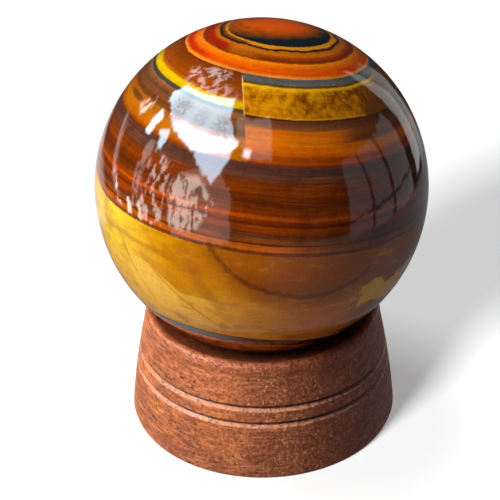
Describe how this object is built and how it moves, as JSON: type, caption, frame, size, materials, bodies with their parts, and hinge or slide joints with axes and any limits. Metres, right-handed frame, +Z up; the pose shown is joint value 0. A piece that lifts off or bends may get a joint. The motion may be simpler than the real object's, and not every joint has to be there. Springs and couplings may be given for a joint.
{
  "type": "polished stone sphere on a wooden stand",
  "caption": "Polished banded stone sphere resting in the dished top of a low turned wooden stand with grooves round its side.",
  "frame": {"origin": "middle of the stand's flat underside, at floor level", "axes": "+Z up through the middle of the stand and the stone; +X to the right and -Y to the front of the side that shows the brightest yellow bands"},
  "size_m": [0.06, 0.06, 0.0758],
  "materials": {
    "banded_stone": "high polish, banded gold, orange, red-brown and blue-grey",
    "turned_hardwood": "satin oiled, open pores, turning marks"
  },
  "bodies": {
    "root": {"stone_sphere": "banded_stone", "wooden_stand": "turned_hardwood"}
  },
  "joints": []
}
